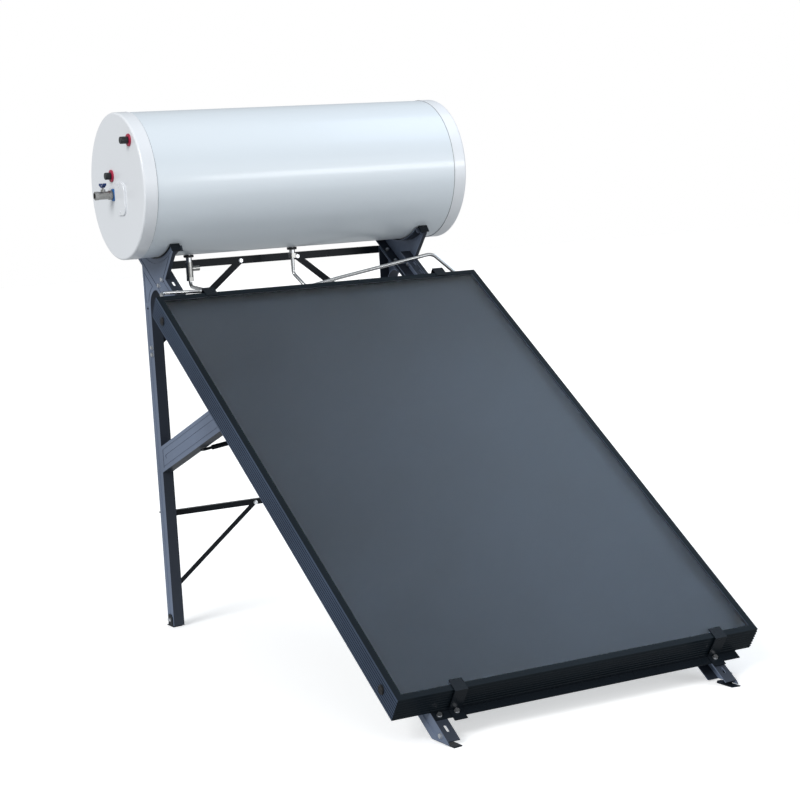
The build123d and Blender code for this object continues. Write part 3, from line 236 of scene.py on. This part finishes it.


# Lit and shaded colours of one paint each: the lighter web and side colours are painted side light,
# the darker flange and edge colours painted shade.
STAND_SHADED_FLANGE, STAND_LIT_WEB = (0.030, 0.037, 0.052), (0.132, 0.165, 0.236)
PROFILE_SHADED_EDGE, PROFILE_LIT_SIDE = (0.006, 0.010, 0.014), (0.047, 0.066, 0.106)
materials = {
    "jacket_enamel": enamel("jacket_enamel", (0.70, 0.755, 0.80)),
    "cap_enamel": enamel("cap_enamel", (0.78, 0.80, 0.83)),
    # painted side light and shade: the profiles are lighter on the faces that look along the tank's
    # length
    "frame_black": coat_with_painted_side_light("frame_black", PROFILE_SHADED_EDGE, PROFILE_LIT_SIDE, 0.28, 0.38, 0.07),
    "solar_glass": solar_glass(),
    "absorber_coating": absorber(),
    "mineral_wool": fibrous("mineral_wool", (0.55, 0.48, 0.25)),
    "foam": fibrous("foam", (0.75, 0.66, 0.40)),
    "gasket_rubber": moulded("gasket_rubber", (0.035, 0.042, 0.052), 0.4, 0.55),
    "black_rubber": moulded("black_rubber", (0.010, 0.010, 0.012), 0.45, 0.65),
    "black_plastic": moulded("black_plastic", (0.012, 0.013, 0.015), 0.28, 0.42),
    "red_washer": moulded("red_washer", (0.40, 0.010, 0.050), 0.25, 0.4),
    "blue_washer": moulded("blue_washer", (0.005, 0.125, 0.40), 0.25, 0.4),
    "blue_handle": powder_coat("blue_handle", (0.010, 0.034, 0.140), 0.25, 0.4),
    "zinc_fasteners": bright_metal("zinc_fasteners", (0.74, 0.75, 0.77), 0.22, 0.38),
    # painted side light and shade: the stand is lighter on the faces that look along the tank's
    # length
    "stand_paint": coat_with_painted_side_light("stand_paint", STAND_SHADED_FLANGE, STAND_LIT_WEB, 0.34, 0.46, 0.20),
    "clamp_black": powder_coat("clamp_black", (0.008, 0.011, 0.015), 0.22, 0.34, 0.10),
    "galvanised_sheet": bright_metal("galvanised_sheet", (0.50, 0.52, 0.53), 0.35, 0.55, marks=40.0),
    "stainless": bright_metal("stainless", (0.66, 0.66, 0.66), 0.18, 0.24, marks=60.0),
    "nickel_brass": bright_metal("nickel_brass", (0.36, 0.355, 0.34), 0.22, 0.36, marks=120.0),
    "copper_tube": bright_metal("copper_tube", (0.80, 0.42, 0.28), 0.25, 0.4),
    "magnesium": bright_metal("magnesium", (0.55, 0.55, 0.56), 0.4, 0.6),
    "valve_seat_plastic": moulded("valve_seat_plastic", (0.85, 0.85, 0.82), 0.3, 0.45),
}
for part in frame["record"]["subparts"]:
    finish = materials[part["material_slot"]].material
    slots = nodes[part["node"]].data.materials
    if not slots:
        slots.append(finish)
    for index in range(len(slots)):
        slots[index] = finish


# ---------------------------------------------------------------- small visual pieces
def new_piece(name, mesh_builder, slot):
    """A smooth mesh piece that rides on the fixed body, the heater, in a slot's finish."""
    shape = bmesh.new()
    mesh_builder(shape)
    mesh = bpy.data.meshes.new(name)
    shape.to_mesh(mesh)
    shape.free()
    for face in mesh.polygons:
        face.use_smooth = True
    piece = bpy.data.objects.new(name, mesh)
    bpy.context.scene.collection.objects.link(piece)
    mesh.materials.append(materials[slot].material)
    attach(piece, "heater")


def ring_of(shape, centre, axis, radius, half_width, steps):
    """A round bead about an axis."""
    sides = 8
    turn = Vector(axis).to_track_quat("Z", "Y")
    along = turn @ Vector((0, 0, 1))
    loops = []
    for k in range(steps):
        angle = 2 * math.pi * k / steps
        out = turn @ Vector((math.cos(angle), math.sin(angle), 0))
        loop = []
        for m in range(sides):
            corner = 2 * math.pi * m / sides
            reach = out * (radius + half_width * math.cos(corner))
            rise = along * half_width * math.sin(corner)
            loop.append(shape.verts.new(Vector(centre) + reach + rise))
        loops.append(loop)
    for k in range(steps):
        here, after = loops[k], loops[(k + 1) % steps]
        for m in range(sides):
            n = (m + 1) % sides
            shape.faces.new((here[m], after[m], after[n], here[n]))


def turned(shape, start, axis, outline, steps=32):
    """A turned piece: (distance along the axis, radius) pairs swept round it, closed at the ends."""
    turn = Vector(axis).to_track_quat("Z", "Y")
    rings = []
    for reach, radius in outline:
        ring = []
        for k in range(steps):
            angle = 2 * math.pi * k / steps
            corner = Vector((radius * math.cos(angle), radius * math.sin(angle), reach))
            ring.append(shape.verts.new(Vector(start) + turn @ corner))
        rings.append(ring)
    for low, high in zip(rings, rings[1:]):
        for k in range(steps):
            after = (k + 1) % steps
            shape.faces.new((low[k], low[after], high[after], high[k]))
    shape.faces.new(list(reversed(rings[0])))
    shape.faces.new(rings[-1])


def dome(shape, centre, outward, radius, height):
    """A shallow round head that stands on a face, with a small flat on top."""
    steps, rings, flat_radius = 16, 4, 0.0002
    outline = []
    for k in range(rings + 1):
        angle = math.pi / 2 * k / rings
        outline.append((height * math.sin(angle), radius * math.cos(angle) + flat_radius))
    turned(shape, centre, outward, outline, steps)


def corners(node):
    """The low and high corners of a CAD node's box."""
    low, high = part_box(node)
    return Vector(low), Vector(high)


CAP_LOW, CAP_HIGH = corners("tank_left_cap")
TANK_AXIS = (CAP_LOW + CAP_HIGH) / 2
TANK_RADIUS = (CAP_HIGH.z - CAP_LOW.z) / 2
LEFT_SKIRT_END, RIGHT_SKIRT_END = CAP_HIGH.x, corners("tank_right_cap")[0].x
SKIRT_STEPS = 160
BEAD_DEPTH, BEAD_HALF_WIDTH = 0.0006, 0.0011  # the depth is under the skirt's outside
# The dark ring of painted shadow just inside each skirt's end, on the jacket.
SHADOW_LINE_DEPTH, SHADOW_LINE_HALF_WIDTH, SHADOW_LINE_OFFSET = 0.0013, 0.0005, 0.0016


def round_tank(shape, x, depth, half_width):
    """A bead round the tank at x, sunk under the skirts' outside."""
    centre = (x, TANK_AXIS.y, TANK_AXIS.z)
    ring_of(shape, centre, RIGHT, TANK_RADIUS - depth, half_width, SKIRT_STEPS)


def skirt_beads(shape):
    """The rolled edge of each cap's skirt, over the jacket."""
    for x in (LEFT_SKIRT_END, RIGHT_SKIRT_END):
        round_tank(shape, x, BEAD_DEPTH, BEAD_HALF_WIDTH)


def skirt_painted_shadow(shape):
    """A painted shadow: a dark line where each skirt ends on the jacket."""
    for x in (LEFT_SKIRT_END + SHADOW_LINE_OFFSET, RIGHT_SKIRT_END - SHADOW_LINE_OFFSET):
        round_tank(shape, x, SHADOW_LINE_DEPTH, SHADOW_LINE_HALF_WIDTH)


new_piece("skirt_beads", skirt_beads, "cap_enamel")
# The dark ring at each skirt's end is painted shadow, in the gasket rubber finish.
new_piece("skirt_painted_shadow", skirt_painted_shadow, "gasket_rubber")


PLUG_LOW, PLUG_HIGH = corners("header_plugs")
PROFILE_HIGH = corners("collector_left_profile")[1]
MID_X = (PLUG_LOW.x + PLUG_HIGH.x) / 2
COLLECTOR_LENGTH, COLLECTOR_DEPTH, COLLECTOR_WIDTH = 1.900, 0.080, 1.250
FOOT_EDGE = Vector((MID_X, PROFILE_HIGH.y, PROFILE_HIGH.z - COLLECTOR_DEPTH * math.cos(TILT)))
FOOT_EDGE -= SLOPE * COLLECTOR_LENGTH
RIVET_RADIUS, RIVET_HEIGHT, RIVET_INSET = 0.0045, 0.0015, 0.012
RIVETS_PER_SIDE, SIDE_MARGIN = 10, 0.06
RIVETS_PER_END, END_MARGIN = 6, 0.10
HEADER_INSET = 0.085  # from each end of the collector to its header's axis
PLUG_RIM_RADIUS, PLUG_RIM_HALF_WIDTH, PLUG_RIM_STEPS = 0.0115, 0.0012, 40
PLUG_BOSS_RADIUS, PLUG_BOSS_HEIGHT = 0.0050, 0.0020


def on_collector(x, along, above):
    """A point x from the middle plane, along the slope and above the collector's underside."""
    return FOOT_EDGE + RIGHT * x + SLOPE * along + NORMAL * above


def back_rivets(shape):
    """Blind rivets round the collector's underside."""
    places = []
    for x in (-COLLECTOR_WIDTH / 2 + RIVET_INSET, COLLECTOR_WIDTH / 2 - RIVET_INSET):
        for k in range(RIVETS_PER_SIDE):
            share = k / (RIVETS_PER_SIDE - 1)
            places.append((x, SIDE_MARGIN + share * (COLLECTOR_LENGTH - 2 * SIDE_MARGIN)))
    for along in (RIVET_INSET, COLLECTOR_LENGTH - RIVET_INSET):
        for k in range(RIVETS_PER_END):
            share = k / (RIVETS_PER_END - 1)
            places.append(((share - 0.5) * (COLLECTOR_WIDTH - 2 * END_MARGIN), along))
    for x, along in places:
        dome(shape, on_collector(x, along, 0), -NORMAL, RIVET_RADIUS, RIVET_HEIGHT)


def plug_details(shape):
    """A raised rim and a middle boss on each header plug."""
    for x, outward in ((PLUG_LOW.x, -RIGHT), (PLUG_HIGH.x, RIGHT)):
        for along in (HEADER_INSET, COLLECTOR_LENGTH - HEADER_INSET):
            centre = on_collector(0, along, COLLECTOR_DEPTH / 2)
            centre.x = x
            ring_of(shape, centre, outward, PLUG_RIM_RADIUS, PLUG_RIM_HALF_WIDTH, PLUG_RIM_STEPS)
            dome(shape, centre, outward, PLUG_BOSS_RADIUS, PLUG_BOSS_HEIGHT)


new_piece("back_rivets", back_rivets, "zinc_fasteners")
new_piece("plug_details", plug_details, "black_rubber")

COVER_LOW, COVER_HIGH = corners("heater_cover")
SCREW_INSET, SCREW_RADIUS, SCREW_HEIGHT = 0.013, 0.0042, 0.0018


def cover_screws(shape):
    """Two round-headed screws on the heater cover."""
    middle_y = (COVER_LOW.y + COVER_HIGH.y) / 2
    for z in (COVER_LOW.z + SCREW_INSET, COVER_HIGH.z - SCREW_INSET):
        dome(shape, (COVER_LOW.x, middle_y, z), -RIGHT, SCREW_RADIUS, SCREW_HEIGHT)


new_piece("cover_screws", cover_screws, "cap_enamel")

ROD_LOW, ROD_HIGH = corners("tie_rod")
EYE_RADIUS, EYE_RISE = 0.011, 0.006
SLEEVE_START, SLEEVE_LENGTH, SLEEVE_RADIUS = 0.030, 0.110, 0.0085
SLEEVE_SHOULDER, SLEEVE_BORE = 0.002, 0.0051


def rod_sleeve(shape):
    """The turnbuckle sleeve near the tie rod's left end, with rounded shoulders."""
    start = Vector((ROD_LOW.x + EYE_RADIUS, ROD_HIGH.y - EYE_RADIUS, ROD_LOW.z + EYE_RISE))
    end = Vector((ROD_HIGH.x - EYE_RADIUS, ROD_LOW.y + EYE_RADIUS, ROD_HIGH.z - EYE_RISE))
    sleeve_end = SLEEVE_START + SLEEVE_LENGTH
    outline = [
        (SLEEVE_START, SLEEVE_BORE),
        (SLEEVE_START, SLEEVE_RADIUS - SLEEVE_SHOULDER),
        (SLEEVE_START + SLEEVE_SHOULDER, SLEEVE_RADIUS),
        (sleeve_end - SLEEVE_SHOULDER, SLEEVE_RADIUS),
        (sleeve_end, SLEEVE_RADIUS - SLEEVE_SHOULDER),
        (sleeve_end, SLEEVE_BORE),
    ]
    turned(shape, start, end - start, outline)


new_piece("rod_sleeve", rod_sleeve, "clamp_black")

SEAM_ANGLE = math.radians(48)  # from straight down, towards the back
SEAM_GAP, SEAM_RADIUS, SEAM_TIP_RADIUS, SEAM_TIP = 0.004, 0.0016, 0.0006, 0.001
SEAM_STEPS = 12


def jacket_seam(shape):
    """The jacket's lock seam: a thin rounded bead along the back, low down."""
    out = Vector((0, math.sin(SEAM_ANGLE), -math.cos(SEAM_ANGLE)))
    start = Vector((LEFT_SKIRT_END + SEAM_GAP, TANK_AXIS.y, TANK_AXIS.z))
    start += out * (TANK_RADIUS - SEAM_RADIUS)
    length = RIGHT_SKIRT_END - LEFT_SKIRT_END - 2 * SEAM_GAP
    outline = [
        (0, SEAM_TIP_RADIUS),
        (SEAM_TIP, SEAM_RADIUS),
        (length - SEAM_TIP, SEAM_RADIUS),
        (length, SEAM_TIP_RADIUS),
    ]
    turned(shape, start, RIGHT, outline, SEAM_STEPS)


new_piece("jacket_seam", jacket_seam, "jacket_enamel")


# ---------------------------------------------------------------- floor, light and camera
FLOOR_SIZE, FLOOR_HEIGHT = 60.0, -0.0005


def pale_floor():
    """A wide pale floor that shades softly into the backdrop."""
    bpy.ops.mesh.primitive_plane_add(size=FLOOR_SIZE, location=(0, 0, FLOOR_HEIGHT))
    floor = bpy.context.object
    floor.name = "floor"
    paint = Paint("floor_paint", Roughness=0.9, Emission_Color=(1, 1, 1, 1), Emission_Strength=0.42)
    dark, light = (0.90, 0.90, 0.90), (0.93, 0.93, 0.93)
    paint.colour(paint.ramp(paint.noise(0.4, 2.0), [(0.3, dark), (0.7, light)]))
    floor.data.materials.append(paint.material)
    floor.visible_diffuse = False
    floor.visible_glossy = False


WHITE = (1.0, 1.0, 1.0)


def soft_light(name, place, aim, size, power, tint=WHITE):
    """A large soft box that faces a point."""
    data = bpy.data.lights.new(name, "AREA")
    data.shape = "RECTANGLE"
    data.size, data.size_y = size
    data.energy = power
    data.color = tint
    light = bpy.data.objects.new(name, data)
    light.location = place
    light.rotation_euler = (Vector(aim) - Vector(place)).to_track_quat("-Z", "Y").to_euler()
    bpy.context.scene.collection.objects.link(light)


def soft_sun(name, toward_light, strength, spread, tint=WHITE):
    """A broad, even light from far away."""
    data = bpy.data.lights.new(name, "SUN")
    data.energy = strength
    data.angle = math.radians(spread)
    data.color = tint
    light = bpy.data.objects.new(name, data)
    light.rotation_euler = Vector(toward_light).to_track_quat("Z", "Y").to_euler()
    bpy.context.scene.collection.objects.link(light)


def studio_world():
    """A white backdrop, which lights the object less than it shows."""
    world = bpy.data.worlds.new("studio")
    world.use_nodes = True
    tree = world.node_tree
    backdrop = tree.nodes["Background"]
    backdrop.inputs["Color"].default_value = (*WHITE, 1)
    backdrop.inputs["Strength"].default_value = 1.0
    ambient = tree.nodes.new("ShaderNodeBackground")
    ambient.inputs["Color"].default_value = (0.93, 0.97, 1.0, 1)
    ambient.inputs["Strength"].default_value = 0.46
    path = tree.nodes.new("ShaderNodeLightPath")
    choice = tree.nodes.new("ShaderNodeMixShader")
    tree.links.new(path.outputs["Is Camera Ray"], choice.inputs["Fac"])
    tree.links.new(ambient.outputs["Background"], choice.inputs[1])
    tree.links.new(backdrop.outputs["Background"], choice.inputs[2])
    tree.links.new(choice.outputs["Shader"], tree.nodes["World Output"].inputs["Surface"])
    bpy.context.scene.world = world


def studio():
    """A key from the left, fills from above and in front, and soft boxes for tank and glass."""
    studio_world()
    soft_sun("key", (-0.80, -0.35, 0.50), 2.0, 30)
    soft_sun("top", (0.1, -0.2, 1.0), 0.22, 60)
    soft_sun("front", (0.25, -1.0, 0.05), 0.75, 50, (0.92, 0.96, 1.0))
    soft_light("tank_strip", (3.2, -5.0, 2.1), (0, 0.6, 1.6), (2.2, 0.8), 45)
    soft_light("glass_glow", (2.6, -0.2, 4.0), (0.3, -0.6, 0.4), (2.6, 2.2), 28, (0.62, 0.79, 1.0))


CAMERA_PLACE = Vector((-3.0868, -5.7564, 1.5597))
CAMERA_YAW, CAMERA_PITCH, CAMERA_ROLL = (math.radians(angle) for angle in (28.365, 6.274, -3.465))
CAMERA_LENS = 90.1
SENSOR_WIDTH = 36.0


def photo_camera():
    """The camera at the photograph's viewing angle."""
    data = bpy.data.cameras.new("camera")
    data.lens = CAMERA_LENS
    data.sensor_width = SENSOR_WIDTH
    camera = bpy.data.objects.new("camera", data)
    ahead = Vector((
        math.sin(CAMERA_YAW) * math.cos(CAMERA_PITCH),
        math.cos(CAMERA_YAW) * math.cos(CAMERA_PITCH),
        -math.sin(CAMERA_PITCH),
    ))
    across = ahead.cross(UP).normalized()
    above = across.cross(ahead)
    tilt_cos, tilt_sin = math.cos(CAMERA_ROLL), math.sin(CAMERA_ROLL)
    image_right = across * tilt_cos + above * tilt_sin
    image_up = above * tilt_cos - across * tilt_sin
    turn = Matrix((image_right, image_up, -ahead)).transposed().to_4x4()
    camera.matrix_world = Matrix.Translation(CAMERA_PLACE) @ turn
    bpy.context.scene.collection.objects.link(camera)
    bpy.context.scene.camera = camera


pale_floor()
studio()
photo_camera()
bpy.context.scene.view_settings.view_transform = "Standard"
